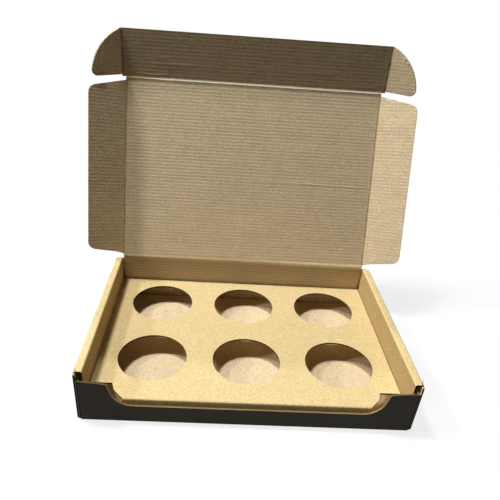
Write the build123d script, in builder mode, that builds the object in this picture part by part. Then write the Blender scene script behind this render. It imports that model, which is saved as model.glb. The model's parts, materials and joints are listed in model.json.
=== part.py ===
"""Corrugated gift box for six candle tins: a folded tray with an open tuck lid and a platform insert.

The origin is at the middle of the underside. X runs along the front, Y goes to the back and Z is up.
"""
import os

from build123d import *

# Board
board = 1.6  # thickness of the corrugated sheet
fold_inside = 0.4  # radius on the inner side of a fold
slip = 0.3  # clearance of a sheet that slides in beside another

# Tray
box_width = 282.0
box_depth = 190.0
side_height = 49.3  # rim of the rolled side walls
side_wall = 7.0  # outer panel, hollow and inner panel together
side_inset = 2.0  # side panels stop short of the front and back faces
rim_corner = 3.0  # rounding of the outer panels' upper corners
roll_front = 4.0  # the rolled strip starts this far behind the front face
roll_back = 3.5
roll_relief = 3.0  # rear outer corner of the rolled strip, cut across
roll_relief_run = 6.0
front_end_height = 42.4  # front wall at its two ends
front_lip_height = 40.0  # front wall beside the notch
corner_width = 26.0  # each high corner of the front wall, from the box's side
notch_floor = 17.8
notch_flare = 6.0  # the notch is this much narrower at its floor, on each side
notch_radius = 18.0
lip_radius = 3.0
wing_length = 46.0  # end wings of the front and back walls, inside the side walls
wing_play = 0.1
tab_length = 38.0  # locking tabs under the inner panels
tab_pitch = 92.0
tabs_per_side = 2

# Lid, as it stands open
lid_angle = 70.7  # above the level, behind the back fold
hinge_gap = 0.3  # slit between a panel and the rounded edge it turns on
flap_length = 39.5
flap_angle = 30.0  # side flaps, from the lid's plane
flap_lower_end = 2.4  # the flap starts this far from the lid's back fold
flap_upper_end = 2.6  # and stops this far from its front fold
flap_heel = 9.0  # short steep stretch at the flap's lower end
flap_heel_rise = 2.2
flap_lower_taper = 4.6
flap_upper_taper = 10.0
flap_radius = 8.5
tuck_length = 46.3
tuck_angle = 16.0  # tuck flap, from the lid's plane
ear_length = 31.7
ear_angle = 20.0  # ears, from the tuck flap's plane
ear_lower_end = 2.6
ear_tip_height = 0.4
ear_tip_radius = 5.5
ear_bulge = 8.0  # how far the ear's round edge stands off its chord

# Insert
insert_play = 1.0  # beside the platform, to each inner panel
insert_top = 22.0  # height of the platform's upper face
hole_diameter = 62.0
hole_pitch_x = 85.5
hole_pitch_y = 87.0
hole_margin = 10.0  # least board beside the outermost holes
hole_shift = 5.0  # the hole pattern sits this far behind the middle
cutout_depth = 21.5  # corner cut-outs, from the box's front face
cutout_radius = 4.0
cutout_flare = 12.0  # the cut-out's edge swings in this far at the front fold
cutout_flare_radius = 12.0
leg_bevel = 5.0  # sloped ends of the legs at the floor

# Middle layers of the folded sheets, and what follows from them
fold_radius = fold_inside + board / 2
half_width = box_width / 2
half_depth = box_depth / 2
base_mid = board / 2
side_mid = half_width - board / 2
inner_face = half_width - side_wall
inner_mid = inner_face + board / 2
rim_mid = side_height - board / 2
front_mid = -half_depth + board / 2
back_mid = half_depth - board / 2
wing_mid = side_mid - board - wing_play
panel_foot = board + slip  # panels folded in stand just clear of the base
slot = board + 2 * slip  # room for one sheet to slide in

# Fold axes of the moving panels
hinge_z = side_height + slip + board / 2
lid_length = back_mid - (front_mid + board + slip)
flap_axis = inner_face - slip - board / 2
ear_axis = (inner_mid + wing_mid) / 2
panel_start = board / 2 + hinge_gap

lid_plane = Plane(Location((0, back_mid, hinge_z), (lid_angle, 0, 0)))
flap_plane = Plane(lid_plane.location * Location((flap_axis, 0, 0), (0, -flap_angle, 0)))
tuck_plane = Plane(lid_plane.location * Location((0, lid_length, 0), (tuck_angle, 0, 0)))
ear_plane = Plane(tuck_plane.location * Location((ear_axis, 0, 0), (0, -ear_angle, 0)))


def sheet_section(plane, middle):
    """Section of a folded sheet, from the points of its middle layer"""
    with BuildSketch(plane) as section:
        with BuildLine():
            FilletPolyline(*middle, radius=fold_radius)
        trace(line_width=board)
    return section.sketch


def round_edge(start, along, length):
    """Rounded edge that a panel turns on"""
    with BuildSketch(Plane(start, z_dir=along)) as section:
        Circle(board / 2)
    extrude(section.sketch, amount=length)


os.makedirs("parts", exist_ok=True)

# Tray: the right half is folded up, then mirrored
roll_start = -half_depth + roll_front
roll_end = half_depth - roll_back
notch_half = half_width - corner_width
front_points = [(0, base_mid), (front_mid, base_mid), (front_mid, front_end_height)]
back_points = [(0, base_mid), (back_mid, base_mid), (back_mid, hinge_z)]
side_points = [(0, base_mid), (side_mid, base_mid), (side_mid, rim_mid)]
roll_points = [
    (inner_face, base_mid),
    (side_mid, base_mid),
    (side_mid, rim_mid),
    (inner_mid, rim_mid),
    (inner_mid, panel_foot),
]
with BuildPart() as tray:
    # Base with the outer side panel, and its rounded upper corners
    extrude(sheet_section(Plane.XZ, side_points), amount=half_depth - side_inset, both=True)
    panel_corners = tray.edges().filter_by(Axis.X).group_by(Axis.Z)[-1]
    fillet(panel_corners, radius=rim_corner)
    # Rolled strip and inner panel, with the strip's rear corner cut across
    extrude(sheet_section(Plane.XZ.offset(-roll_end), roll_points), amount=roll_end - roll_start)
    with BuildSketch(Plane.XY.offset(side_height)):
        with Locations((half_width, roll_end)):
            Polygon((0, 0), (-roll_relief, 0), (0, -roll_relief_run), align=None)
    extrude(amount=-board, mode=Mode.SUBTRACT)
    # Front and back walls folded up from the base
    wall_half = wing_mid - fold_radius
    extrude(sheet_section(Plane.YZ, front_points), amount=wall_half)
    extrude(sheet_section(Plane.YZ, back_points), amount=flap_axis)
    round_edge((0, back_mid, hinge_z), (1, 0, 0), flap_axis)
    # Ends of the front and back walls, turned in as wings between the side panels
    front_corner = (wing_mid, front_mid)
    back_corner = (wing_mid, back_mid)
    front_wing = [(wall_half - board, front_mid), front_corner, (wing_mid, front_mid + wing_length)]
    back_wing = [(flap_axis - board, back_mid), back_corner, (wing_mid, back_mid - wing_length)]
    wing_top = side_height - board - slip
    extrude(sheet_section(Plane.XY.offset(panel_foot), front_wing), amount=front_end_height - panel_foot)
    extrude(sheet_section(Plane.XY.offset(panel_foot), back_wing), amount=wing_top - panel_foot)
    # Wide notch in the front wall
    with BuildSketch(Plane.XZ.offset(half_depth)) as notch:
        with BuildLine():
            Polyline(
                (0, notch_floor),
                (notch_half - notch_flare, notch_floor),
                (notch_half, front_lip_height),
                (wing_mid, front_end_height),
                (0, front_end_height),
                close=True,
            )
        make_face()
        floor_corner, lip_corner = notch.vertices().sort_by(Axis.X)[2:4]
        fillet(floor_corner, notch_radius)
        fillet(lip_corner, lip_radius)
    extrude(amount=-board, mode=Mode.SUBTRACT)
    # Slots in the base for the locking tabs, and the tabs in them
    with BuildSketch():
        with Locations((inner_mid, 0)):
            with GridLocations(0, tab_pitch, 1, tabs_per_side):
                Rectangle(slot, tab_length + 2 * slip)
    extrude(amount=board, mode=Mode.SUBTRACT)
    with BuildSketch(Plane.XY.offset(slip)):
        with Locations((inner_mid, 0)):
            with GridLocations(0, tab_pitch, 1, tabs_per_side):
                Rectangle(board, tab_length)
    extrude(amount=board)
    mirror(about=Plane.YZ)
tray.part.label = "tray"
export_step(tray.part, "parts/tray.step")

# Lid panel with half-round edges along its three folds
with BuildPart() as lid_panel:
    with BuildSketch(lid_plane):
        with Locations((0, (panel_start + lid_length) / 2)):
            Rectangle(2 * flap_axis, lid_length - panel_start)
    extrude(amount=board / 2, both=True)
    for side in (-flap_axis, flap_axis):
        edge_start = lid_plane.from_local_coords((side, panel_start, 0))
        round_edge(edge_start, lid_plane.y_dir, lid_length - panel_start)
    edge_start = lid_plane.from_local_coords((-flap_axis, lid_length, 0))
    round_edge(edge_start, lid_plane.x_dir, 2 * flap_axis)
lid_panel.part.label = "lid_panel"
export_step(lid_panel.part, "parts/lid_panel.step")

# Side flaps, tapered at both ends with round outer corners
flap_top = lid_length - flap_upper_end
with BuildPart() as right_side_flap:
    with BuildSketch(flap_plane) as flap_outline:
        with BuildLine():
            Polyline(
                (panel_start, flap_lower_end),
                (flap_heel, flap_lower_end + flap_heel_rise),
                (flap_length, flap_lower_end + flap_heel_rise + flap_lower_taper),
                (flap_length, flap_top - flap_upper_taper),
                (panel_start, flap_top),
                close=True,
            )
        make_face()
        fillet(flap_outline.vertices().sort_by(Axis.X)[-2:], flap_radius)
    extrude(amount=board / 2, both=True)
right_side_flap.part.label = "right_side_flap"
export_step(right_side_flap.part, "parts/right_side_flap.step")

with BuildPart() as left_side_flap:
    mirror(right_side_flap.part, about=Plane.YZ)
left_side_flap.part.label = "left_side_flap"
export_step(left_side_flap.part, "parts/left_side_flap.step")

# Tuck flap with half-round edges where its ears turn
with BuildPart() as tuck_flap:
    with BuildSketch(tuck_plane):
        with Locations((0, (panel_start + tuck_length) / 2)):
            Rectangle(2 * ear_axis, tuck_length - panel_start)
    extrude(amount=board / 2, both=True)
    for side in (-ear_axis, ear_axis):
        edge_start = tuck_plane.from_local_coords((side, panel_start, 0))
        round_edge(edge_start, tuck_plane.y_dir, tuck_length - panel_start)
tuck_flap.part.label = "tuck_flap"
export_step(tuck_flap.part, "parts/tuck_flap.step")

# Quarter-round ears on the tuck flap's ends
ear_tip = (ear_length, ear_tip_height)
with BuildPart() as right_ear:
    with BuildSketch(ear_plane) as ear_outline:
        with BuildLine():
            Polyline((panel_start, tuck_length), (panel_start, ear_lower_end), ear_tip)
            SagittaArc(ear_tip, (panel_start, tuck_length), -ear_bulge)
        make_face()
        fillet(ear_outline.vertices().sort_by(Axis.X)[-1], ear_tip_radius)
    extrude(amount=board / 2, both=True)
right_ear.part.label = "right_ear"
export_step(right_ear.part, "parts/right_ear.step")

with BuildPart() as left_ear:
    mirror(right_ear.part, about=Plane.YZ)
left_ear.part.label = "left_ear"
export_step(left_ear.part, "parts/left_ear.step")

# Platform insert: one sheet folded down at the front and the back
insert_half = inner_face - insert_play
front_leg = -half_depth + board + slot + board / 2
back_leg = half_depth - board - fold_inside - slip - board / 2
insert_mid = insert_top - board / 2
insert_points = [(front_leg, board), (front_leg, insert_mid), (back_leg, insert_mid), (back_leg, board)]
cutout_back = -half_depth + cutout_depth
hole_room_x = 2 * (insert_half - hole_margin) - hole_diameter
hole_room_y = back_leg - front_leg - 2 * hole_margin - hole_diameter
hole_columns = int(hole_room_x // hole_pitch_x) + 1
hole_rows = int(hole_room_y // hole_pitch_y) + 1
with BuildPart() as tin_insert:
    extrude(sheet_section(Plane.YZ, insert_points), amount=insert_half, both=True)
    # Seats of the tins
    with BuildSketch(Plane.XY.offset(insert_top)):
        with Locations((0, hole_shift)):
            with GridLocations(hole_pitch_x, hole_pitch_y, hole_columns, hole_rows):
                Circle(hole_diameter / 2)
    extrude(amount=-board, mode=Mode.SUBTRACT)
    # Front corners cut away along a curve that follows the front wall's notch
    with BuildSketch(Plane.XY.offset(insert_top)) as cutout:
        with BuildLine():
            Polyline(
                (half_width, cutout_back),
                (notch_half, cutout_back),
                (notch_half - notch_flare / 2, (cutout_back + front_leg) / 2),
                (notch_half - cutout_flare, front_leg - board / 2),
                (half_width, front_leg - board / 2),
                close=True,
            )
        make_face()
        flare_corner, inner_corner = cutout.vertices().sort_by(Axis.X)[1:3]
        fillet(flare_corner, cutout_flare_radius)
        fillet(inner_corner, cutout_radius)
        mirror(about=Plane.YZ)
    extrude(amount=-insert_top, mode=Mode.SUBTRACT)
    # Sloped ends of the two legs
    leg_ends = tin_insert.edges().filter_by(Axis.Y).group_by(Axis.Z)[0]
    chamfer(leg_ends, leg_bevel)
tin_insert.part.label = "tin_insert"
export_step(tin_insert.part, "parts/tin_insert.step")
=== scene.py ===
"""Looks of the candle tin gift box.

Every panel is corrugated board: a kraft liner inside with a washboard of flute lines, a liner outside that is
printed black, and a fluted middle that shows in the cut edges. Creases bridge the folds of the open lid.
"""
import json
import math
import random

import bmesh
import bpy
from mathutils import Matrix, Vector, noise


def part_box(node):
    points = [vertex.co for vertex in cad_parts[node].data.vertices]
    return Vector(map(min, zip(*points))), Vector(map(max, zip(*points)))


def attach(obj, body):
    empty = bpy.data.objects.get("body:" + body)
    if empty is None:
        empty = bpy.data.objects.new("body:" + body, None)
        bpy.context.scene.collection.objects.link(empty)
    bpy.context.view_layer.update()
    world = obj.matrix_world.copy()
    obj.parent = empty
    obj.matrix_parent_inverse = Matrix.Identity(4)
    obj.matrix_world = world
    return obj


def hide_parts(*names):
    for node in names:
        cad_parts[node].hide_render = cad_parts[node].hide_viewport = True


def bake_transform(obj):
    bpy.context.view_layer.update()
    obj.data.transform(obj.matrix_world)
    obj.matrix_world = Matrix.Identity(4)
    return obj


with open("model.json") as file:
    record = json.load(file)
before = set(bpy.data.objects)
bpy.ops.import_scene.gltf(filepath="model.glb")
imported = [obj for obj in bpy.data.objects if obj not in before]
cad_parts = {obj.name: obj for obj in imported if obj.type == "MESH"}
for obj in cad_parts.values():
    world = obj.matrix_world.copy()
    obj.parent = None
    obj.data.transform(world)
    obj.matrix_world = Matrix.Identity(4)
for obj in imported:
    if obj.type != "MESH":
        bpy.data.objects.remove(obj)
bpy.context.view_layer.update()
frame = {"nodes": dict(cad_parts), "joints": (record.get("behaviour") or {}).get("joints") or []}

MM = 0.001

# Board
BOARD = 1.6 * MM
LINER = 0.3 * MM
MEDIUM = 0.22 * MM  # paper of the fluted middle
FLUTE_PITCH = 3.45 * MM
EDGE_GROOVE = 1.2 * MM  # how far the fluted middle lies open between the liners of a cut edge
WASHBOARD = 0.075 * MM  # depth of the flute lines on the inner liner
PRINT_WASHBOARD = 0.010 * MM
FLUTE_SPREAD = (0.8, 1.2)  # how strongly single flute lines show
ROWS_PER_FLUTE = 6  # mesh rows over a flute line of the liner
STEPS_PER_WAVE = 12  # mesh steps over a wave of the fluted middle
FOLD_FADE = 1.6 * MM  # flute lines die out this close to a fold

# Mesh
TINY = 0.005 * MM
SHARP_ANGLE = math.radians(32)
FLAT_ANGLE = math.radians(0.2)
SQUARE_ON = 0.9  # cosine past which a face looks straight along a direction
LEANING = 0.2  # cosine past which it leans that way

INSIDE = Vector((0, -1, 0.3))  # every panel of the open box turns its inner liner this way
RIGHT = Vector((1, 0, 0))
BACK = Vector((0, 1, 0))
UP = Vector((0, 0, 1))
UP_PANEL = Vector((0, 1, 0))  # in a panel's own frame

hinges = {joint["name"]: joint for joint in frame["joints"]}
lid_up = Vector(hinges["right_flap_hinge"]["axis"])
tuck_up = Vector(hinges["right_ear_hinge"]["axis"])
back_fold = Vector(hinges["lid_hinge"]["pos_m"])
front_fold = Vector(hinges["tuck_hinge"]["pos_m"])
lid_depth = (front_fold - back_fold).length
side_fold = abs(hinges["right_flap_hinge"]["pos_m"][0])
ear_fold = abs(hinges["right_ear_hinge"]["pos_m"][0])
rng = random.Random(7)


# Materials


# Bare kraft board, its fibres, and the print; lighter and darker copies of the one kraft are painted light and
# painted shade
KRAFT = (0.70, 0.545, 0.272)
# kraft of the lid, the flaps, the ears and the tray's base, lighter than the insert's kraft as painted light
KRAFT_INSIDE_LIT = (0.80, 0.635, 0.405)
# darker copy of the kraft for the tuck and the insert's underside: painted shade
KRAFT_TUCK_SHADED = (0.50, 0.385, 0.24)
# darker copy of the kraft for the tray's bare inner walls: painted shade
KRAFT_TRAY_SHADED = (0.66, 0.515, 0.340)
# still darker copy for the inner side panels: painted shade
KRAFT_INNER_PANEL_SHADED = (0.48, 0.338, 0.152)
PALE_FIBRE = (0.90, 0.80, 0.60)
DARK_FIBRE = (0.26, 0.17, 0.09)
PRINT = (0.056, 0.048, 0.031)

# Noise scales, per metre, and the stretch of fibres and cracks along each axis
CLOUDS = 90.0
GRAIN = 620.0
FINE_GRAIN = 1050.0
SPECKS = 380.0
SCUFFS = 260.0
FIBRES = (420.0, 2300.0, 2300.0)
CROSS_FIBRES = (2300.0, 420.0, 700.0)
CUT_GRAIN = 1300.0
TORN_GRAIN = 1500.0
PRINT_CLOUDS = 70.0
PRINT_GRAIN = 1100.0
PRINT_RUBS = 520.0
PRINT_FIBRES = (380.0, 2400.0, 2400.0)
PRINT_CRACKS = (300.0, 900.0, 900.0)

# How far the pulp departs from its mean colour
SMOOTH_CONTRAST = 0.25
WASHBOARD_CONTRAST = 0.33
CREASE_CONTRAST = 0.08

PAPER_GLOSS = 0.06
PRINT_GLOSS = 0.16
BUMP_DEPTH = 0.2 * MM


class Finish:
    """A procedural material on the object's own coordinates"""

    def __init__(self, name, gloss=PAPER_GLOSS):
        self.material = bpy.data.materials.new(name)
        self.material.use_nodes = True
        self.tree = self.material.node_tree
        self.shader = self.tree.nodes["Principled BSDF"]
        self.shader.inputs["Specular IOR Level"].default_value = gloss
        self.place = self.node("ShaderNodeTexCoord").outputs["Object"]

    def node(self, kind, settings=(), **inputs):
        made = self.tree.nodes.new(kind)
        for name, value in dict(settings).items():
            setattr(made, name, value)
        for name, value in inputs.items():
            self.set(made.inputs[name.replace("_", " ")], value)
        return made

    def set(self, socket, value):
        if isinstance(value, bpy.types.NodeSocket):
            self.tree.links.new(value, socket)
        else:
            socket.default_value = value

    def noise(self, scale, detail=3.0, roughness=0.6, where=None):
        made = self.node(
            "ShaderNodeTexNoise",
            Vector=where or self.place,
            Scale=scale,
            Detail=detail,
            Roughness=roughness,
        )
        return made.outputs["Fac"]

    def fibres(self, stretch, detail=2.0, roughness=0.6):
        """Noise drawn out along an axis"""
        drawn = self.node("ShaderNodeMapping", Vector=self.place, Scale=stretch)
        return self.noise(1.0, detail, roughness, drawn.outputs["Vector"])

    def band(self, value, low, high, to_low=0.0, to_high=1.0):
        """Value mapped from low..high to the new limits, smoothly"""
        made = self.node(
            "ShaderNodeMapRange",
            {"interpolation_type": "SMOOTHSTEP"},
            Value=value,
            From_Min=low,
            From_Max=high,
            To_Min=to_low,
            To_Max=to_high,
        )
        return made.outputs["Result"]

    def math(self, operation, first, second):
        made = self.node("ShaderNodeMath", {"operation": operation})
        self.set(made.inputs[0], first)
        self.set(made.inputs[1], second)
        return made.outputs["Value"]

    def mixed(self, share, first, second):
        """Colour between two others; the mix node's colour sockets have no names of their own"""
        made = self.node("ShaderNodeMix", {"data_type": "RGBA"})
        self.set(made.inputs[0], share)
        self.set(made.inputs[6], first)
        self.set(made.inputs[7], second)
        return made.outputs[2]

    def attribute(self, name):
        return self.node("ShaderNodeAttribute", {"attribute_name": name}).outputs["Fac"]

    def bump(self, height, strength):
        made = self.node("ShaderNodeBump", Strength=strength, Distance=BUMP_DEPTH, Height=height)
        self.set(self.shader.inputs["Normal"], made.outputs["Normal"])

    def complete(self, colour, roughness):
        self.set(self.shader.inputs["Base Color"], colour)
        self.set(self.shader.inputs["Roughness"], roughness)
        return self.material


def shade(colour, factor=1.0):
    return (colour[0] * factor, colour[1] * factor, colour[2] * factor, 1.0)


def pulp(finish, colour, contrast):
    """Colour and height of grainy pulp with pale and dark fibres and a few specks"""
    clouds = finish.band(finish.noise(CLOUDS), 0.35, 0.65)
    grain = finish.band(finish.noise(GRAIN, 4.0, 0.7), 0.32, 0.68)
    fine = finish.band(finish.noise(FINE_GRAIN, 2.0), 0.34, 0.66)
    fibres = finish.fibres(FIBRES)
    pale_fibres = finish.band(fibres, 0.60, 0.72, to_high=0.5)
    dark_fibres = finish.band(finish.fibres(CROSS_FIBRES), 0.64, 0.76, to_high=0.5)
    specks = finish.band(finish.noise(SPECKS, 1.0, 0.5), 0.765, 0.785, to_high=0.8)
    paper = finish.mixed(clouds, shade(colour, 1 - 0.16 * contrast), shade(colour, 1 + 0.16 * contrast))
    paper = finish.mixed(finish.math("MULTIPLY", grain, 0.5), paper, shade(colour, 1 - 2.2 * contrast))
    paper = finish.mixed(finish.math("MULTIPLY", fine, 0.45), paper, shade(colour, 1 + 1.6 * contrast))
    paper = finish.mixed(pale_fibres, paper, shade(PALE_FIBRE))
    paper = finish.mixed(dark_fibres, paper, shade(colour, 0.62))
    paper = finish.mixed(specks, paper, shade(DARK_FIBRE))
    return paper, finish.math("ADD", grain, fibres)


def smooth_kraft(name, colour):
    """Liner without flute lines"""
    finish = Finish(name)
    paper, height = pulp(finish, colour, SMOOTH_CONTRAST)
    finish.bump(height, strength=0.10)
    return finish.complete(paper, roughness=0.86)


def washboard_kraft(name, colour):
    """Inner liner with painted shade in the dips of its flute lines"""
    finish = Finish(name)
    paper, height = pulp(finish, colour, WASHBOARD_CONTRAST)
    painted_dip_shade = finish.band(finish.attribute("flute"), 0.35, 1.0, to_high=0.42)
    paper = finish.mixed(painted_dip_shade, paper, shade(colour, 0.55))
    # pale spots: torn fibres and painted highlight; dark spots: dirt and painted shadow
    paper = finish.mixed(finish.attribute("torn_and_highlit"), paper, shade(PALE_FIBRE, 1.07))
    paper = finish.mixed(finish.attribute("dirt_and_shadow"), paper, shade(DARK_FIBRE, 0.6))
    finish.bump(height, strength=0.16)
    return finish.complete(paper, roughness=0.9)


def cracked_kraft():
    """Inner liner along a crease, scuffed to pale fibres, with painted shade down a pressed-in fold"""
    finish = Finish("cracked_kraft")
    paper, height = pulp(finish, KRAFT, CREASE_CONTRAST)
    scuffed = finish.band(finish.noise(SCUFFS, 4.0, 0.7), 0.28, 0.44)
    scuffed = finish.math("MULTIPLY", scuffed, finish.attribute("scuff"))
    paper = finish.mixed(scuffed, paper, shade(PALE_FIBRE, 1.07))
    paper = finish.mixed(finish.attribute("fold_shade"), paper, shade(DARK_FIBRE, 0.35))
    finish.bump(height, strength=0.2)
    return finish.complete(paper, roughness=0.92)


def cut_paper(name, dark, pale, scale=CUT_GRAIN, limits=(0.3, 0.7), strength=0.2):
    """Bare paper in a cut edge, between its dark and its pale fibres"""
    finish = Finish(name)
    grain = finish.noise(scale, 3.0, 0.7)
    finish.bump(grain, strength)
    return finish.complete(finish.mixed(finish.band(grain, *limits), dark, pale), roughness=0.95)


def black_print():
    """Matte ink on paper, with the fibres under it showing through here and there"""
    finish = Finish("black_print", PRINT_GLOSS)
    clouds = finish.band(finish.noise(PRINT_CLOUDS, 4.0), 0.3, 0.7)
    grain = finish.noise(PRINT_GRAIN, 3.0, 0.7)
    fibres = finish.fibres(PRINT_FIBRES)
    rubbed = finish.band(finish.noise(PRINT_RUBS, 2.0), 0.70, 0.80, to_high=0.5)
    ink = finish.mixed(clouds, shade(PRINT, 0.97), shade(PRINT, 1.03))
    ink = finish.mixed(finish.band(fibres, 0.62, 0.78, to_high=0.5), ink, shade(PRINT, 1.9))
    ink = finish.mixed(rubbed, ink, shade(KRAFT, 0.22))
    finish.bump(finish.math("ADD", grain, fibres), strength=0.16)
    return finish.complete(ink, roughness=finish.band(grain, 0.3, 0.7, 0.57, 0.67))


def cracked_print():
    """Ink along an outer fold, broken in fine lines down to the paper"""
    finish = Finish("cracked_print", PRINT_GLOSS)
    grain = finish.noise(PRINT_GRAIN, 3.0, 0.7)
    cracks = finish.band(finish.fibres(PRINT_CRACKS, 4.0, 0.75), 0.55, 0.68, to_high=0.85)
    ink = finish.mixed(finish.band(grain, 0.3, 0.7), shade(PRINT, 0.85), shade(PRINT, 1.25))
    ink = finish.mixed(cracks, ink, shade(KRAFT, 0.55))
    finish.bump(grain, strength=0.2)
    return finish.complete(ink, roughness=0.62)


FINISHES = [
    washboard_kraft("washboard_kraft", KRAFT_INSIDE_LIT),
    black_print(),
    smooth_kraft("smooth_kraft", KRAFT),
    cut_paper("cut_liner", shade(KRAFT, 0.95), shade(PALE_FIBRE, 1.02), TORN_GRAIN, (0.35, 0.65), 0.25),
    cut_paper("fluted_medium", shade(KRAFT, 0.55), shade(KRAFT, 0.80)),
    cracked_kraft(),
    cracked_print(),
    washboard_kraft("tuck_kraft_painted_shade", KRAFT_TUCK_SHADED),
    # near-black cut edge: painted shade in the open edges of the holes and of the front wall's top
    cut_paper("shaded_cut_edge", shade(KRAFT, 0.14), shade(KRAFT, 0.26)),
    washboard_kraft("tray_kraft_painted_shade", KRAFT_TRAY_SHADED),
    smooth_kraft("inner_panel_painted_shade", KRAFT_INNER_PANEL_SHADED),
]
(
    WASHBOARD_SIDE, PRINT_SIDE, SMOOTH_SIDE, CUT, MIDDLE, CRACKED, CRACKED_INK, SHADED_SIDE, SHADED_CUT,
    SHADED_TRAY_SIDE, SHADED_INNER_PANEL,
) = range(len(FINISHES))


# Mesh helpers


def everything(bm):
    return bm.verts[:] + bm.edges[:] + bm.faces[:]


def smoothstep(value):
    value = min(max(value, 0.0), 1.0)
    return value * value * (3 - 2 * value)


def solid_copy(node, place):
    """Merged copy of a solid, in a panel's own frame"""
    bm = bmesh.new()
    bm.from_mesh(frame["nodes"][node].data)
    bmesh.ops.remove_doubles(bm, verts=bm.verts, dist=TINY)
    bmesh.ops.transform(bm, matrix=place.inverted(), verts=bm.verts)
    return bm


def rule_lines(bm, geometry, way, start, stop, step):
    """Cuts the geometry along evenly spaced planes across the given way"""
    for k in range(1, int((stop - start) / step) + 1):
        cut = bmesh.ops.bisect_plane(
            bm, geom=geometry, plane_co=way * (start + k * step), plane_no=way, dist=TINY
        )
        geometry = cut["geom"]


def groove_cut_edges(bm, faces):
    """Opens the board's middle between its liners along cut edges"""
    for face in faces:
        face.material_index = MIDDLE
    rims = bmesh.ops.inset_region(
        bm, faces=faces, thickness=LINER, depth=-EDGE_GROOVE, use_even_offset=True, use_boundary=True
    )
    for face in rims["faces"]:
        face.material_index = CUT


def soften(bm):
    """Smooth faces with sharp edges kept"""
    for face in bm.faces:
        face.smooth = True
    for edge in bm.edges:
        edge.smooth = len(edge.link_faces) == 2 and edge.calc_face_angle(0) < SHARP_ANGLE


def make_piece(name, bm, place=Matrix()):
    """Finished piece, with its place in its mesh"""
    bmesh.ops.transform(bm, matrix=place, verts=bm.verts)
    soften(bm)
    mesh = bpy.data.meshes.new(name)
    bm.to_mesh(mesh)
    bm.free()
    for finish in FINISHES:
        mesh.materials.append(finish)
    piece = bpy.data.objects.new(name, mesh)
    bpy.context.scene.collection.objects.link(piece)
    return piece


def add_mesh(bm, mesh, material_index):
    before = len(bm.faces)
    bm.from_mesh(mesh)
    bm.faces.ensure_lookup_table()
    for face in bm.faces[before:]:
        face.material_index = material_index


def fluted_middle(solid, low, high):
    """Wavy paper between the liners, trimmed to the outline of the solid"""
    start = [low[axis] - BOARD for axis in (0, 1)]
    size = [high[axis] + BOARD - start[axis] for axis in (0, 1)]
    bm = bmesh.new()
    bmesh.ops.create_grid(bm, x_segments=1, y_segments=int(size[1] / FLUTE_PITCH * STEPS_PER_WAVE), size=0.5)
    swing = BOARD / 2 - LINER - MEDIUM / 2
    for vert in bm.verts:
        vert.co.x = start[0] + (vert.co.x + 0.5) * size[0]
        vert.co.y = start[1] + (vert.co.y + 0.5) * size[1]
        vert.co.z = swing * math.sin(math.tau * vert.co.y / FLUTE_PITCH) - MEDIUM / 2
    bmesh.ops.recalc_face_normals(bm, faces=bm.faces)
    bmesh.ops.solidify(bm, geom=bm.faces[:], thickness=MEDIUM)
    bmesh.ops.recalc_face_normals(bm, faces=bm.faces)
    wave = bpy.data.objects.new("wave", bpy.data.meshes.new("wave"))
    outline = bpy.data.objects.new("outline", bpy.data.meshes.new("outline"))
    bm.to_mesh(wave.data)
    bm.free()
    solid.to_mesh(outline.data)
    for part in (wave, outline):
        bpy.context.scene.collection.objects.link(part)
    trim = wave.modifiers.new("trim", "BOOLEAN")
    trim.operation = "INTERSECT"
    trim.solver = "EXACT"
    trim.object = outline
    trimmed = bpy.data.meshes.new_from_object(wave.evaluated_get(bpy.context.evaluated_depsgraph_get()))
    for part in (wave, outline):
        bpy.data.objects.remove(part)
    return trimmed


# Panels of the lid


DENT_WANDER = 0.7  # share of its width by which a crush line strays
DENT_WAVES = 180
MARK_ROUGHNESS = 0.35  # share of its reach by which a mark's rim strays
MARK_WAVES = 420
FLUTE_UNEVENNESS = 0.4  # share by which a flute line's strength varies along it
FLUTE_WAVES = 60


class Dent:
    """Straight crush line on the inner liner, in its panel's millimetres, raised where its depth is negative"""

    def __init__(self, start, end, depth, width):
        self.start = Vector(start) * MM
        self.run = Vector(end) * MM - self.start
        self.depth = depth * MM
        self.width = width * MM

    def at(self, point):
        share = (point - self.start).dot(self.run) / self.run.length_squared
        nearest = self.start + self.run * min(max(share, 0.0), 1.0)
        wander = DENT_WANDER * self.width * noise.noise(Vector((point.x * DENT_WAVES, point.y * DENT_WAVES, 3.0)))
        gap = (point - nearest).length + wander
        ends = smoothstep(6 * min(share, 1 - share) + 0.2)
        return self.depth * ends * math.exp(-((gap / self.width) ** 2))


class Mark:
    """Soft spot on the inner liner, in its panel's millimetres: dirt and painted shadow darken it, torn fibres
    and painted highlight make it pale
    """

    def __init__(self, kind, centre, reach, amount):
        self.kind = kind
        self.centre = Vector(centre) * MM
        self.reach = Vector(reach) * MM
        self.amount = amount

    def at(self, point):
        across = (point.x - self.centre.x) / self.reach.x
        upward = (point.y - self.centre.y) / self.reach.y
        rough = MARK_ROUGHNESS * noise.noise(Vector((point.x * MARK_WAVES, point.y * MARK_WAVES, 8.0)))
        return self.amount * smoothstep(1.2 - math.hypot(across, upward) + rough)


def press_marks(bm, marks):
    layers = {kind: bm.verts.layers.float.new(kind) for kind in ("torn_and_highlit", "dirt_and_shadow")}
    for vert in bm.verts:
        if vert.co.z > 0:
            for mark in marks:
                layer = layers[mark.kind]
                vert[layer] = max(vert[layer], mark.at(vert.co))


def panel_frame(node, hinge, up):
    """Frame of a flat panel: X along its flutes, Y up the panel and Z out of its inner liner"""
    widest = max(frame["nodes"][node].data.polygons, key=lambda face: face.area)
    inward = widest.normal if widest.normal.dot(INSIDE) > 0 else -widest.normal
    place = Matrix((up.cross(inward), up, inward)).transposed().to_4x4()
    place.translation = Vector(hinges[hinge]["pos_m"])
    return place


def flute_dip(row):
    """Depth of a flute line, from 0 on its crest to 1 in its dip"""
    return 0.5 + 0.5 * math.cos(math.tau * row)


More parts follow.
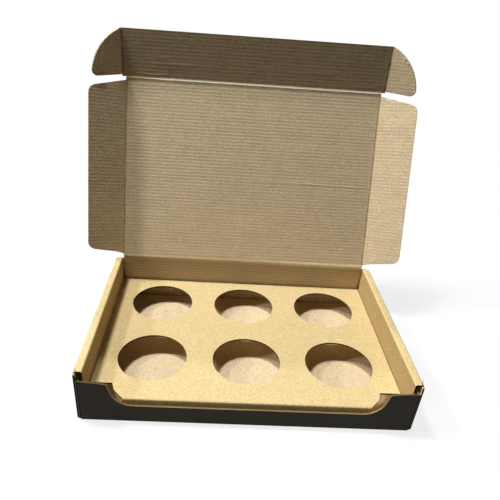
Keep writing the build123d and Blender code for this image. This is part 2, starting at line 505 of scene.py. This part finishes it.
def press_flutes(bm, folds, relief, dents):
    """Washboard and dents of the inner liner with painted shade in its dips, and a fainter washboard of the
    printed one
    """
    flute_shade_layer = bm.verts.layers.float.new("flute")
    strength = {}
    for vert in bm.verts:
        inner = abs(vert.co.z - BOARD / 2) < TINY
        outer = abs(vert.co.z + BOARD / 2) < TINY
        if not (inner or outer):
            continue
        row = vert.co.y / FLUTE_PITCH
        flute = math.floor(row)
        fade = 1.0
        for axis, line in folds:
            fade *= smoothstep(abs(vert.co[axis] - line) / FOLD_FADE)
        local = relief * strength.setdefault(flute, rng.uniform(*FLUTE_SPREAD))
        local += relief * FLUTE_UNEVENNESS * noise.noise(Vector((vert.co.x * FLUTE_WAVES, flute * 1.7, 0.5)))
        dip = flute_dip(row)
        if inner:
            depth = WASHBOARD * local * dip * fade
            # painted shade, strongest in the dip of each flute line
            vert[flute_shade_layer] = dip * local * fade
            point = vert.co.xy
            for dent in dents:
                depth += dent.at(point)
            vert.co.z -= depth
        else:
            vert.co.z += PRINT_WASHBOARD * local * dip * fade


def crush_rim(bm, cuts, rim):
    """Slopes the inner rim of the cut edges, as the cutting die leaves it"""
    edges = {edge for face in cuts for edge in face.edges}
    rims = [edge for edge in edges if any(face.normal.z > SQUARE_ON for face in edge.link_faces)]
    sloped = bmesh.ops.bevel(
        bm, geom=rims, offset=rim, offset_type="OFFSET", segments=1, profile=0.5, affect="EDGES", material=-1
    )
    for face in sloped["faces"]:
        face.material_index = CUT
    return [face for face in cuts if face.is_valid]


def board_panel(
    node, body, hinge, up, cut_edge, folds, columns, relief,
    inner=WASHBOARD_SIDE, dents=(), marks=(), rim=0.0,
):
    """One panel of corrugated board in place of a plain solid"""
    place = panel_frame(node, hinge, up)
    bm = solid_copy(node, place)
    bmesh.ops.dissolve_limit(bm, angle_limit=FLAT_ANGLE, verts=bm.verts, edges=bm.edges)
    low = [min(vert.co[axis] for vert in bm.verts) for axis in range(3)]
    high = [max(vert.co[axis] for vert in bm.verts) for axis in range(3)]
    middle = fluted_middle(bm, low, high)
    for face in bm.faces:
        face.material_index = inner if face.normal.z > 0 else PRINT_SIDE
    cuts = [face for face in bm.faces if abs(face.normal.z) < 0.5 and cut_edge(face)]
    if rim:
        cuts = crush_rim(bm, cuts, rim)
    groove_cut_edges(bm, cuts)
    rule_lines(bm, everything(bm), RIGHT, low[0], high[0], (high[0] - low[0]) / columns)
    rule_lines(bm, everything(bm), UP_PANEL, low[1], high[1], FLUTE_PITCH / ROWS_PER_FLUTE)
    press_marks(bm, marks)
    press_flutes(bm, folds, relief, dents)
    add_mesh(bm, middle, MIDDLE)
    piece = make_piece(node + "_board", bm, place)
    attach(piece, body)
    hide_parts(node)


def away_from_hinge(face):
    """Cut edges of a flap or an ear: all but the side along its fold"""
    return abs(face.calc_center_median().x) > 2 * BOARD


def free_edge(face):
    """Cut edge of the tuck flap"""
    return face.normal.y > SQUARE_ON


def no_edge(face):
    """The lid has folds all round"""
    return False


LID_DENTS = [
    Dent((8, 89.5), (75, 88.5), -0.20, 0.6),
    Dent((60, 88.7), (131, 88.0), -0.20, 0.6),
]
TUCK_DENTS = [
    Dent((-108, 15), (-62, 16), -0.22, 0.6),
    Dent((-118, 4.5), (-92, 5), -0.40, 0.6),
    Dent((-112, 8), (-98, 7.5), -0.40, 0.6),
    Dent((-103, 20), (-92, 21.5), -0.30, 0.6),
    Dent((-104, 8), (-102, 18), -0.25, 0.6),
    Dent((-96, 12), (-84, 11), -0.30, 0.6),
    Dent((40, 16), (100, 17), -0.14, 0.7),
    Dent((98, 6), (128, 6), -0.22, 0.7),
]
LID_MARKS = [
    Mark("dirt_and_shadow", (-96.0, 177.5), (0.9, 0.9), 0.7),
    Mark("dirt_and_shadow", (-98.5, 157.0), (0.8, 0.7), 0.6),
    Mark("dirt_and_shadow", (-68.0, 141.0), (1.0, 0.7), 0.6),
    Mark("dirt_and_shadow", (-44.0, 146.0), (0.8, 0.8), 0.5),
    Mark("dirt_and_shadow", (-12.0, 120.0), (0.9, 0.6), 0.5),
    Mark("dirt_and_shadow", (52.0, 101.0), (0.8, 0.6), 0.5),
    Mark("dirt_and_shadow", (88.0, 133.0), (0.9, 0.7), 0.5),
    # pale bands along the raised crush line: painted highlight
    Mark("torn_and_highlit", (50.0, 89.0), (34.0, 0.6), 0.5),
    Mark("torn_and_highlit", (100.0, 88.4), (30.0, 0.6), 0.5),
]
FLAP_MARKS = {
    "left": [Mark("dirt_and_shadow", (-27.0, 175.0), (8.0, 4.5), 0.5)],
    "right": [
        Mark("torn_and_highlit", (10.0, 180.5), (5.0, 1.6), 1.0),
        Mark("torn_and_highlit", (20.0, 178.6), (3.0, 1.0), 0.8),
        # darker spot just below the tear
        Mark("dirt_and_shadow", (9.0, 178.2), (3.2, 0.6), 0.6),
    ],
}
EAR_MARKS = {
    "left": [],
    "right": [
        Mark("torn_and_highlit", (13.0, 36.2), (2.0, 1.7), 1.0),
        Mark("torn_and_highlit", (17.0, 32.4), (1.7, 1.3), 1.0),
        # dark spots beside the torn flakes: painted shadow
        Mark("dirt_and_shadow", (15.2, 34.0), (1.2, 0.9), 1.0),
        Mark("dirt_and_shadow", (18.6, 30.4), (1.2, 0.9), 1.0),
    ],
}
LID_RELIEF = 1.15
TUCK_RELIEF = 0.95
FLAP_RELIEF = {"left": 0.85, "right": 1.0}
EAR_RELIEF = 0.75
EAR_RIM = 0.6 * MM
LID_COLUMNS, TUCK_COLUMNS, SIDE_COLUMNS = 70, 56, 24

ACROSS, UPWARD = 0, 1
lid_folds = [(ACROSS, -side_fold), (ACROSS, side_fold), (UPWARD, 0.0), (UPWARD, lid_depth)]
tuck_folds = [(ACROSS, -ear_fold), (ACROSS, ear_fold), (UPWARD, 0.0)]
own_fold = [(ACROSS, 0.0)]
board_panel(
    "lid_panel", "lid", "lid_hinge", lid_up, no_edge, lid_folds, LID_COLUMNS, LID_RELIEF,
    dents=LID_DENTS, marks=LID_MARKS,
)
board_panel(
    "tuck_flap", "tuck", "tuck_hinge", tuck_up, free_edge, tuck_folds, TUCK_COLUMNS, TUCK_RELIEF,
    inner=SHADED_SIDE, dents=TUCK_DENTS,
)
for side in ("left", "right"):
    flap, ear = side + "_flap", side + "_ear"
    board_panel(
        side + "_side_flap", flap, flap + "_hinge", lid_up, away_from_hinge, own_fold, SIDE_COLUMNS,
        FLAP_RELIEF[side], marks=FLAP_MARKS[side],
    )
    board_panel(
        ear, ear, ear + "_hinge", tuck_up, away_from_hinge, own_fold, SIDE_COLUMNS,
        EAR_RELIEF, marks=EAR_MARKS[side], rim=EAR_RIM,
    )


# Tray


tray_low, tray_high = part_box("tray")
RIM = 49.3 * MM
FRONT_END = 42.4 * MM  # height of the front wall at its ends
INNER_FACE = 134.0 * MM  # inner side panels, from the middle
WING_FACE = 139.3 * MM  # outer face of the wings
BASE_TOP = BOARD
FRONT_FACE = tray_low.y
BACK_INNER = tray_high.y - BOARD
FOLD_OUTSIDE = 2.0 * MM  # outer radius of a folded corner
CRISP = 3.0  # how far a folded corner is pressed square, from 2 for a plain round
PLAIN_FOOT = 4 * MM  # flute lines start this far from the folds of the base
BACK_WALL_RELIEF = 1.1
BASE_RELIEF = 0.35
ALONG_X, ALONG_Y, ALONG_Z = 0, 1, 2


def tighten_fold(bm, across, centre, quadrant):
    """Presses a round folded corner to a crisper one"""
    for vert in bm.verts:
        first = (vert.co[across[0]] - centre[0]) * quadrant[0]
        second = (vert.co[across[1]] - centre[1]) * quadrant[1]
        reach = math.hypot(first, second)
        if min(first, second) < 0 or abs(reach - FOLD_OUTSIDE) > 10 * TINY:
            continue
        swell = FOLD_OUTSIDE / (first ** CRISP + second ** CRISP) ** (1 / CRISP) - 1
        vert.co[across[0]] += swell * first * quadrant[0]
        vert.co[across[1]] += swell * second * quadrant[1]


def tray_side(face):
    """Which side of the folded sheet a face of the tray shows"""
    centre = face.calc_center_median()
    normal = face.normal
    width = abs(centre.x)
    outward = normal.x * math.copysign(1, centre.x)
    in_side_wall = width > INNER_FACE - TINY
    if in_side_wall and normal.z > LEANING and centre.z > RIM - FOLD_OUTSIDE:
        return SMOOTH_SIDE
    # inner side panels take a darker kraft, painted shade
    if in_side_wall and outward < -LEANING and width < INNER_FACE + FOLD_OUTSIDE and centre.z > BOARD:
        return SHADED_INNER_PANEL
    if width > tray_high.x - TINY or centre.z < TINY or abs(centre.y) > tray_high.y - TINY:
        return PRINT_SIDE
    if in_side_wall and abs(normal.y) > SQUARE_ON and BASE_TOP < centre.z:
        return CUT
    if in_side_wall and normal.z > SQUARE_ON and abs(centre.z - FRONT_END) < TINY:
        return CUT
    if centre.y < FRONT_FACE + BOARD and normal.z > LEANING and centre.z > BASE_TOP + BOARD:
        return CUT
    if outward > LEANING and abs(width - WING_FACE) < FOLD_OUTSIDE and centre.z > BASE_TOP:
        return PRINT_SIDE
    near_wall = min(tray_high.y - abs(centre.y), tray_high.x - width) < FOLD_OUTSIDE
    if near_wall and normal.z < -0.05 and centre.z < FOLD_OUTSIDE:
        return PRINT_SIDE
    if centre.z > RIM and normal.y > 0:
        return PRINT_SIDE
    # other bare inner faces take the darker tray kraft, painted shade
    return SHADED_TRAY_SIDE


def flat_part(bm, inward, level):
    """Faces of the tray between its side walls that lie flat at a level and look inward"""
    faces = []
    for face in bm.faces:
        centre = face.calc_center_median()
        lies_there = abs(centre.dot(inward) - level) < TINY and abs(centre.x) < INNER_FACE
        if lies_there and face.normal.dot(inward) > SQUARE_ON:
            faces.append(face)
    return faces


def press_wall(bm, flute_shade_layer, faces, way, inward, limits, relief):
    """Washboard over a flat inner face of the tray, with painted shade in its dips"""
    geometry = set(faces)
    for face in faces:
        geometry.update(face.edges)
        geometry.update(face.verts)
    level = faces[0].verts[0].co.dot(inward)
    rule_lines(bm, list(geometry), way, limits[0], limits[1], FLUTE_PITCH / ROWS_PER_FLUTE)
    strength = {}
    for vert in bm.verts:
        row = vert.co.dot(way) / FLUTE_PITCH
        inside = limits[0] + TINY < vert.co.dot(way) < limits[1] - TINY
        if not inside or abs(vert.co.dot(inward) - level) > TINY or abs(vert.co.x) > INNER_FACE:
            continue
        dip = flute_dip(row)
        local = relief * strength.setdefault(math.floor(row), rng.uniform(*FLUTE_SPREAD))
        vert[flute_shade_layer] = dip * local
        vert.co -= inward * (WASHBOARD * dip * local)


def tighten_tray(bm):
    """Crisper folds along the side walls, the wings and the base"""
    high_fold = RIM - FOLD_OUTSIDE
    low_fold = FOLD_OUTSIDE
    for sign in (-1, 1):
        wall = sign * (tray_high.x - FOLD_OUTSIDE)
        roll = sign * (INNER_FACE + FOLD_OUTSIDE)
        wing = sign * (WING_FACE - FOLD_OUTSIDE)
        tighten_fold(bm, (ALONG_X, ALONG_Z), (wall, high_fold), (sign, 1))
        tighten_fold(bm, (ALONG_X, ALONG_Z), (roll, high_fold), (-sign, 1))
        tighten_fold(bm, (ALONG_X, ALONG_Z), (wall, low_fold), (sign, -1))
        tighten_fold(bm, (ALONG_X, ALONG_Y), (wing, FRONT_FACE + FOLD_OUTSIDE), (sign, -1))
        tighten_fold(bm, (ALONG_X, ALONG_Y), (wing, tray_high.y - FOLD_OUTSIDE), (sign, 1))
        tighten_fold(bm, (ALONG_Y, ALONG_Z), (sign * (tray_high.y - FOLD_OUTSIDE), low_fold), (sign, -1))


def tray_sheet():
    """Folded tray, printed outside and bare inside"""
    bm = solid_copy("tray", Matrix())
    bm.normal_update()
    flute_shade_layer = bm.verts.layers.float.new("flute")
    for face in bm.faces:
        face.material_index = tray_side(face)
    tighten_tray(bm)
    groove_cut_edges(bm, [face for face in bm.faces if face.material_index == CUT and face.normal.y < 0.5])
    for face in bm.faces:
        centre = face.calc_center_median()
        at_front_end = abs(centre.x) > INNER_FACE and centre.y < FRONT_FACE + 6 * BOARD
        wing_top = abs(centre.z - FRONT_END) < 2 * EDGE_GROOVE and centre.y < FRONT_FACE + BOARD
        # cut edges at the front ends of the side walls are printed black, painted shade over the bare cut
        if at_front_end and not wing_top and face.material_index in (CUT, MIDDLE):
            face.material_index = PRINT_SIDE
        # the open middle of the front wall's top edge takes the near-black cut, painted shade
        if centre.y < FRONT_FACE + BOARD and face.material_index == MIDDLE:
            face.material_index = SHADED_CUT
    back_wall = flat_part(bm, -BACK, -BACK_INNER)
    base = flat_part(bm, UP, BASE_TOP)
    # the base takes the lighter kraft, painted light that brightens the pools under the holes
    for face in base:
        face.material_index = WASHBOARD_SIDE
    press_wall(bm, flute_shade_layer, back_wall, UP, -BACK, (PLAIN_FOOT, RIM), BACK_WALL_RELIEF)
    base_limits = (FRONT_FACE + PLAIN_FOOT, BACK_INNER - PLAIN_FOOT)
    press_wall(bm, flute_shade_layer, base, BACK, UP, base_limits, BASE_RELIEF)
    piece = make_piece("tray_sheet", bm)
    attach(piece, "tray")
    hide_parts("tray")


tray_sheet()


# Insert


insert_low, insert_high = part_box("tin_insert")
HOLES_REACH = 125.0 * MM  # the tin holes lie within this distance of the middle


def insert_cut(face):
    """Cut edges of the insert: its holes, its sides and the feet of its legs"""
    centre = face.calc_center_median()
    on_platform = abs(centre.z - insert_high.z + BOARD / 2) < BOARD / 4 and abs(face.normal.z) < 0.3
    foot = face.normal.z < -0.5 and centre.z < insert_low.z + 4 * BOARD
    return on_platform or foot or abs(face.normal.x) > 0.5


def tin_platform():
    """Platform with the tin holes, smooth liner up"""
    bm = solid_copy("tin_insert", Matrix())
    bm.normal_update()
    cuts = [face for face in bm.faces if insert_cut(face)]
    for face in bm.faces:
        centre = face.calc_center_median()
        under = face.normal.z < -0.5 or (abs(face.normal.y) > 0.5 and centre.y * face.normal.y < 0)
        # the underside and the legs' inner faces take the darker kraft, painted shade under the platform
        face.material_index = SHADED_SIDE if under else SMOOTH_SIDE
    top_fold = insert_high.z - FOLD_OUTSIDE
    tighten_fold(bm, (ALONG_Y, ALONG_Z), (insert_low.y + FOLD_OUTSIDE, top_fold), (-1, 1))
    tighten_fold(bm, (ALONG_Y, ALONG_Z), (insert_high.y - FOLD_OUTSIDE, top_fold), (1, 1))
    groove_cut_edges(bm, cuts)
    for face in bm.faces:
        centre = face.calc_center_median()
        in_hole = max(abs(centre.x), abs(centre.y)) < HOLES_REACH and centre.z > insert_high.z - BOARD
        # cut edges round the holes take the near-black cut, painted shade
        if in_hole and face.material_index in (CUT, MIDDLE):
            face.material_index = SHADED_CUT
    piece = make_piece("tin_platform", bm)
    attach(piece, "tray")
    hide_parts("tin_insert")


tin_platform()


# Creases


CREASE_REACH = {"back_crease": 2.4 * MM, "tuck_crease": 2.0 * MM}  # paper on each side of a fold
SIDE_CREASE_REACH = 1.3 * MM
FOLD_SHADE_LINE = {"left_ear_crease": 1.2 * MM, "right_ear_crease": 1.2 * MM}  # painted shade down the valley of a pressed-in fold
FLAP_FOLD_SHADE_LINE = 0.8 * MM
CREASE_STEP = 1.3 * MM
CREASE_PAPER = 0.10 * MM
CREASE_COVER = 0.02 * MM  # crease paper stands this far proud of the panels it joins
SOFT_RIM = 1.3  # a line or a ruffle dies out between 0.3 and 1.3 of its reach
RUFFLES, FINE_RUFFLES, FOLD_SHADE_WAVES = 260, 700, 220  # noise scales along a crease, per metre

# Section of the bead along a fold, before and after its top: shares of the reach and of the bead's height
BEAD_BEFORE = ((1.0, 0.0), (0.55, 0.02), (0.26, 0.12), (0.14, 0.75))
BEAD_AFTER = ((0.26, 0.72), (0.50, 0.26), (0.75, 0.05), (1.0, 0.0))

BACK_BEAD = 0.16 * MM
TUCK_BEAD = 0.80 * MM
SIDE_BEAD = -0.30 * MM  # pressed in, not raised
LONG_RUFFLE = 0.16 * MM
SIDE_RUFFLE = 0.03 * MM
FLAP_FOLD_ENDS = (3.0 * MM, 183.5 * MM)
EAR_FOLD_ENDS = (3.2 * MM, 45.4 * MM)


def crease_sections(ways, inwards, middle, reach, bead):
    """Points across a fold, along its inner side and along its outer side"""
    half = BOARD / 2 + CREASE_COVER
    inner = [ways[0] * reach * out + inwards[0] * (half + bead * lift) for out, lift in BEAD_BEFORE]
    inner.append(middle * (half + bead))
    inner += [ways[1] * reach * out + inwards[1] * (half + bead * lift) for out, lift in BEAD_AFTER]
    outer = [ways[0] * reach * out - inwards[0] * half for out in (1.0, 0.5, 0.0)]
    outer.append(-middle * half)
    outer += [ways[1] * reach * out - inwards[1] * half for out in (0.0, 0.5, 1.0)]
    return inner, outer


def crease_sheet(points, start, axis, length):
    """Strip of paper along a fold, from the points of its section"""
    bm = bmesh.new()
    verts = [bm.verts.new(start + point) for point in points]
    edges = [bm.edges.new(pair) for pair in zip(verts, verts[1:])]
    steps = max(2, round(length / CREASE_STEP))
    for _ in range(steps):
        drawn = bmesh.ops.extrude_edge_only(bm, edges=edges)["geom"]
        verts = [item for item in drawn if isinstance(item, bmesh.types.BMVert)]
        edges = [item for item in drawn if isinstance(item, bmesh.types.BMEdge)]
        bmesh.ops.translate(bm, vec=axis * (length / steps), verts=verts)
    return bm


def off_fold(point, start, axis):
    """Way from the line of a fold to a point"""
    return (point - start) - axis * (point - start).dot(axis)


def crease(name, hinge, ways, inwards, span, bead, ruffle, scuffed):
    """Inner and outer paper across one fold"""
    pivot = Vector(hinges[hinge]["pos_m"])
    axis = Vector(hinges[hinge]["axis"])
    start = pivot + axis * span[0]
    middle = (inwards[0] + inwards[1]).normalized()
    reach = CREASE_REACH.get(name, SIDE_CREASE_REACH)
    line = FOLD_SHADE_LINE.get(name, FLAP_FOLD_SHADE_LINE)
    inner, outer = crease_sections(ways, inwards, middle, reach, bead)
    bm = bmesh.new()
    for points, finish, swell, outward in ((inner, CRACKED, ruffle, 1), (outer, CRACKED_INK, 0.0, -1)):
        strip = crease_sheet(points, start, axis, span[1] - span[0])
        for vert in strip.verts:
            near = smoothstep(SOFT_RIM - off_fold(vert.co, start, axis).length / reach)
            waves = noise.noise(vert.co * RUFFLES) + 0.6 * noise.noise(vert.co * FINE_RUFFLES)
            vert.co += middle * (swell * near * waves)
        bmesh.ops.recalc_face_normals(strip, faces=strip.faces)
        facing = sum((face.normal for face in strip.faces), Vector()).dot(middle)
        if facing * outward < 0:
            bmesh.ops.reverse_faces(strip, faces=strip.faces)
        bmesh.ops.solidify(strip, geom=strip.faces[:], thickness=CREASE_PAPER)
        bmesh.ops.recalc_face_normals(strip, faces=strip.faces)
        mesh = bpy.data.meshes.new("strip")
        strip.to_mesh(mesh)
        strip.free()
        add_mesh(bm, mesh, finish)
    scuff_layer = bm.verts.layers.float.new("scuff")
    fold_shade_layer = bm.verts.layers.float.new("fold_shade")
    for vert in bm.verts:
        vert[scuff_layer] = scuffed(vert.co.x)
        gap = off_fold(vert.co, start, axis)
        gap -= middle * gap.dot(middle)
        # painted shade along the valley of a pressed-in fold, uneven along it
        shade_unevenness = 0.75 + 0.5 * noise.noise(vert.co * FOLD_SHADE_WAVES)
        vert[fold_shade_layer] = shade_unevenness * smoothstep(SOFT_RIM - gap.length / line) if bead < 0 else 0.0
    piece = make_piece(name, bm)
    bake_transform(piece)


def scuffed_to_the_right(x):
    return 0.15 + 0.75 * smoothstep(x / (80 * MM))


def scuffed_but_for_the_left_end(x):
    return 0.2 + 0.8 * smoothstep((x + 118 * MM) / (20 * MM))


def unscuffed(x):
    return 0.0


lid_in = panel_frame("lid_panel", "lid_hinge", lid_up).col[2].to_3d()
tuck_in = panel_frame("tuck_flap", "tuck_hinge", tuck_up).col[2].to_3d()
crease(
    "back_crease", "lid_hinge", (-UP, lid_up), (-BACK, lid_in),
    (-side_fold, side_fold), BACK_BEAD, LONG_RUFFLE, scuffed_to_the_right,
)
crease(
    "tuck_crease", "tuck_hinge", (-lid_up, tuck_up), (lid_in, tuck_in),
    (-side_fold, side_fold), TUCK_BEAD, LONG_RUFFLE, scuffed_but_for_the_left_end,
)
for side, sign in (("left", -1), ("right", 1)):
    for body, node, carrier, carrier_in, up, ends in (
        (side + "_flap", side + "_side_flap", "lid", lid_in, lid_up, FLAP_FOLD_ENDS),
        (side + "_ear", side + "_ear", "tuck", tuck_in, tuck_up, EAR_FOLD_ENDS),
    ):
        place = panel_frame(node, body + "_hinge", up)
        crease(
            body + "_crease", body + "_hinge",
            (-sign * RIGHT, sign * place.col[0].to_3d()), (carrier_in, place.col[2].to_3d()),
            sorted(sign * end for end in ends), SIDE_BEAD, SIDE_RUFFLE, unscuffed,
        )


# Floor, light and camera


FLOOR_HALF = 4.0
FLOOR_DROP = 0.3 * MM
FLOOR_PALE = (0.95, 0.95, 0.95, 1)
# Distance from the middle and value there, at two ends of a ramp
SEEN_WHITE = ((0.22, 0.8), (0.50, 1.0))  # share of plain white that is seen
BOUNCE = ((0.18, 0.20), (0.34, 0.04))  # light that the floor throws back
ROUND_LIGHT = 0.02  # strength of the light from all round

# Camera, fitted to the photograph
PICTURE = 500
SENSOR = 36.0
FOCAL_PIXELS = 497.85
CENTRE_PIXEL = (233.59, 266.58)
VIEWPOINT = (-36.6 * MM, -386.7 * MM, 327.1 * MM)
FORWARD = (0.04535, 0.85989, -0.50847)
SIDEWAYS = (0.99774, -0.01370, 0.06582)


def meets_backdrop(tree):
    """Rays that meet the white backdrop: the camera's own, and those through gloss and glass"""
    path = tree.nodes.new("ShaderNodeLightPath")
    share = path.outputs["Is Camera Ray"]
    for kind in ("Is Glossy Ray", "Is Transmission Ray"):
        either = tree.nodes.new("ShaderNodeMath")
        either.operation = "MAXIMUM"
        tree.links.new(share, either.inputs[0])
        tree.links.new(path.outputs[kind], either.inputs[1])
        share = either.outputs["Value"]
    return share


def ramp(tree, value, start, end):
    """Straight ramp between two pairs of a value and what it becomes"""
    made = tree.nodes.new("ShaderNodeMapRange")
    for limit, pair in (("Min", start), ("Max", end)):
        made.inputs["From " + limit].default_value = pair[0]
        made.inputs["To " + limit].default_value = pair[1]
    tree.links.new(value, made.inputs["Value"])
    return made.outputs["Result"]


def mixed_shader(tree, share, first, second):
    made = tree.nodes.new("ShaderNodeMixShader")
    for socket, output in zip(made.inputs, (share, first, second)):
        tree.links.new(output, socket)
    return made.outputs["Shader"]


def floor_finish():
    """Pale floor that shows white to the camera and keeps the soft shadow"""
    material = bpy.data.materials.new("floor")
    material.use_nodes = True
    tree = material.node_tree
    matte = tree.nodes["Principled BSDF"]
    matte.inputs["Roughness"].default_value = 1.0
    pale = tree.nodes.new("ShaderNodeBsdfDiffuse")
    pale.inputs["Color"].default_value = FLOOR_PALE
    glow = tree.nodes.new("ShaderNodeEmission")
    place = tree.nodes.new("ShaderNodeTexCoord")
    away = tree.nodes.new("ShaderNodeVectorMath")
    away.operation = "LENGTH"
    tree.links.new(place.outputs["Object"], away.inputs[0])
    distance = away.outputs["Value"]
    tree.links.new(ramp(tree, distance, *BOUNCE), matte.inputs["Base Color"])
    white = ramp(tree, distance, *SEEN_WHITE)
    seen = mixed_shader(tree, white, pale.outputs["BSDF"], glow.outputs["Emission"])
    surface = mixed_shader(tree, meets_backdrop(tree), matte.outputs["BSDF"], seen)
    tree.links.new(surface, tree.nodes["Material Output"].inputs["Surface"])
    return material


def floor():
    bm = bmesh.new()
    bmesh.ops.create_grid(bm, x_segments=1, y_segments=1, size=FLOOR_HALF)
    mesh = bpy.data.meshes.new("floor")
    bm.to_mesh(mesh)
    bm.free()
    mesh.materials.append(floor_finish())
    plane = bpy.data.objects.new("floor", mesh)
    plane.location.z = -FLOOR_DROP
    bpy.context.scene.collection.objects.link(plane)


def surroundings():
    """Soft light from all round, and white behind the object"""
    world = bpy.data.worlds.new("surroundings")
    world.use_nodes = True
    tree = world.node_tree
    backdrop = tree.nodes["Background"]
    backdrop.inputs["Color"].default_value = (1, 1, 1, 1)
    level = ramp(tree, meets_backdrop(tree), (0.0, ROUND_LIGHT), (1.0, 1.0))
    tree.links.new(level, backdrop.inputs["Strength"])
    bpy.context.scene.world = world


def lamp(name, place, target, size, power):
    """Round soft lamp, turned to its target"""
    light = bpy.data.lights.new(name, "AREA")
    light.shape = "DISK"
    light.size = size
    light.energy = power
    holder = bpy.data.objects.new(name, light)
    holder.location = place
    holder.rotation_mode = "QUATERNION"
    holder.rotation_quaternion = (Vector(target) - Vector(place)).to_track_quat("-Z", "Y")
    bpy.context.scene.collection.objects.link(holder)


def camera():
    """Viewpoint of the photograph"""
    data = bpy.data.cameras.new("camera")
    data.sensor_width = SENSOR
    data.lens = FOCAL_PIXELS / PICTURE * SENSOR
    data.shift_x = (PICTURE / 2 - CENTRE_PIXEL[0]) / PICTURE
    data.shift_y = (CENTRE_PIXEL[1] - PICTURE / 2) / PICTURE
    holder = bpy.data.objects.new("camera", data)
    forward = Vector(FORWARD).normalized()
    right = Vector(SIDEWAYS)
    right = (right - forward * right.dot(forward)).normalized()
    upward = right.cross(forward)
    holder.matrix_world = Matrix((right, upward, -forward)).transposed().to_4x4()
    holder.location = VIEWPOINT
    bpy.context.scene.collection.objects.link(holder)
    bpy.context.scene.camera = holder


floor()
surroundings()
lamp("upper_left", (-0.6, 0.25, 1.9), (0, 0.05, 0.08), size=0.35, power=32.5)
lamp("left", (-1.1, 0.16, 1.35), (0, 0.05, 0.08), size=0.14, power=9.5)
lamp("low_left", (-1.9, -0.22, 1.12), (0, 0.05, 0.10), size=0.14, power=14.0)
lamp("from_behind", (0.0, 1.5, 1.92), (0, 0, 0), size=0.10, power=14.0)
camera()
bpy.context.scene.view_settings.view_transform = "Standard"
